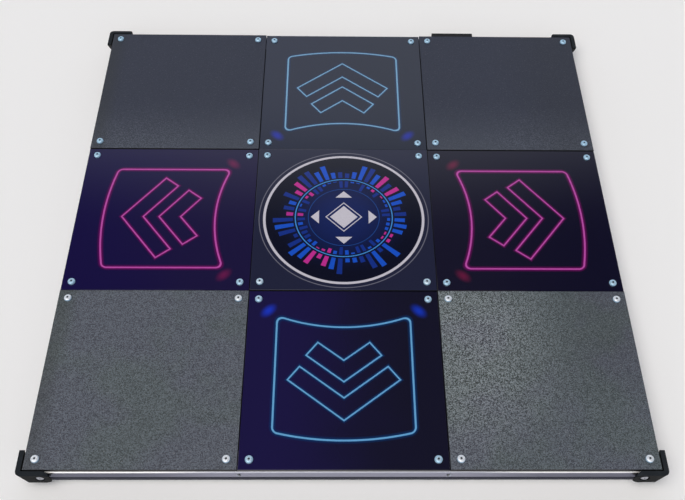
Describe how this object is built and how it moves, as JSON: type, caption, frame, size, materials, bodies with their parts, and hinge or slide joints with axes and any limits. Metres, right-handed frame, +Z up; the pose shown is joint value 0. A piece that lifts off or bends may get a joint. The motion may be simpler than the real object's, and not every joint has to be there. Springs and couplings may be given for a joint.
{
  "type": "dance mat controller",
  "caption": "Low square dance mat controller: tiles in an aluminium frame with corner guards, arrow panels that press down on contact strips, and a socket box in its back edge.",
  "frame": {"origin": "on the floor under the middle of the tile grid, the centre of the bounding box's bottom face", "axes": "+Y the player's forward, towards the up arrow and the socket box; +X the player's right; +Z up"},
  "size_m": [0.856, 0.856, 0.0386],
  "materials": {
    "arrow_panel": "clear polycarbonate over a dark print, glossy",
    "centre_tile": "clear polycarbonate over a dark print, glossy",
    "corner_tile": "fine pebble grain, satin",
    "fixing": "bright zinc",
    "rail": "satin, drawn lengthwise",
    "corner_guard": "moulded, satin",
    "base_board": "black painted board",
    "beam": "planed timber",
    "sensor_deck": "sanded board",
    "contact_strip": "foam with a foil face on each side",
    "led_tape": "white tape",
    "controller_box": "moulded, satin",
    "controller_board": "solder mask",
    "usb_socket": "nickel plated",
    "foot_strip": "ribbed rubber"
  },
  "bodies": {
    "platform": {"base_board": "base_board", "beam_back": "beam", "beam_front": "beam", "beam_left": "beam", "beam_right": "beam", "centre_tile": "centre_tile", "contact_strip_down_a": "contact_strip", "contact_strip_down_b": "contact_strip", "contact_strip_left_a": "contact_strip", "contact_strip_left_b": "contact_strip", "contact_strip_right_a": "contact_strip", "contact_strip_right_b": "contact_strip", "contact_strip_up_a": "contact_strip", "contact_strip_up_b": "contact_strip", "controller_board": "controller_board", "controller_box": "controller_box", "corner_guard_back_left": "corner_guard", "corner_guard_back_right": "corner_guard", "corner_guard_front_left": "corner_guard", "corner_guard_front_right": "corner_guard", "corner_tile_back_left": "corner_tile", "corner_tile_back_right": "corner_tile", "corner_tile_front_left": "corner_tile", "corner_tile_front_right": "corner_tile", "fixing_back_left": "fixing", "fixing_back_mid_left": "fixing", "fixing_back_mid_right": "fixing", "fixing_back_right": "fixing", "fixing_front_left": "fixing", "fixing_front_mid_left": "fixing", "fixing_front_mid_right": "fixing", "fixing_front_right": "fixing", "fixing_mid_back_left": "fixing", "fixing_mid_back_mid_left": "fixing", "fixing_mid_back_mid_right": "fixing", "fixing_mid_back_right": "fixing", "fixing_mid_front_left": "fixing", "fixing_mid_front_mid_left": "fixing", "fixing_mid_front_mid_right": "fixing", "fixing_mid_front_right": "fixing", "foot_strip_back": "foot_strip", "foot_strip_front": "foot_strip", "foot_strip_middle": "foot_strip", "led_tape_down": "led_tape", "led_tape_left": "led_tape", "led_tape_right": "led_tape", "led_tape_up": "led_tape", "rail_back": "rail", "rail_front": "rail", "rail_left": "rail", "rail_right": "rail", "sensor_deck_down": "sensor_deck", "sensor_deck_left": "sensor_deck", "sensor_deck_right": "sensor_deck", "sensor_deck_up": "sensor_deck", "usb_socket": "usb_socket"},
    "pad_up": {"arrow_panel_up": "arrow_panel"},
    "pad_left": {"arrow_panel_left": "arrow_panel"},
    "pad_down": {"arrow_panel_down": "arrow_panel"},
    "pad_right": {"arrow_panel_right": "arrow_panel"}
  },
  "joints": [
    {"name": "press_up", "type": "slide", "parent": "platform", "child": "pad_up", "axis": [0, 0, -1], "range_m": [0, 0.001], "stiffness_N_per_m": 20000, "springref_m": -0.0005, "deforming": ["contact_strip_up_a", "contact_strip_up_b"]},
    {"name": "press_left", "type": "slide", "parent": "platform", "child": "pad_left", "axis": [0, 0, -1], "range_m": [0, 0.001], "stiffness_N_per_m": 20000, "springref_m": -0.0005, "deforming": ["contact_strip_left_a", "contact_strip_left_b"]},
    {"name": "press_down", "type": "slide", "parent": "platform", "child": "pad_down", "axis": [0, 0, -1], "range_m": [0, 0.001], "stiffness_N_per_m": 20000, "springref_m": -0.0005, "deforming": ["contact_strip_down_a", "contact_strip_down_b"]},
    {"name": "press_right", "type": "slide", "parent": "platform", "child": "pad_right", "axis": [0, 0, -1], "range_m": [0, 0.001], "stiffness_N_per_m": 20000, "springref_m": -0.0005, "deforming": ["contact_strip_right_a", "contact_strip_right_b"]}
  ]
}
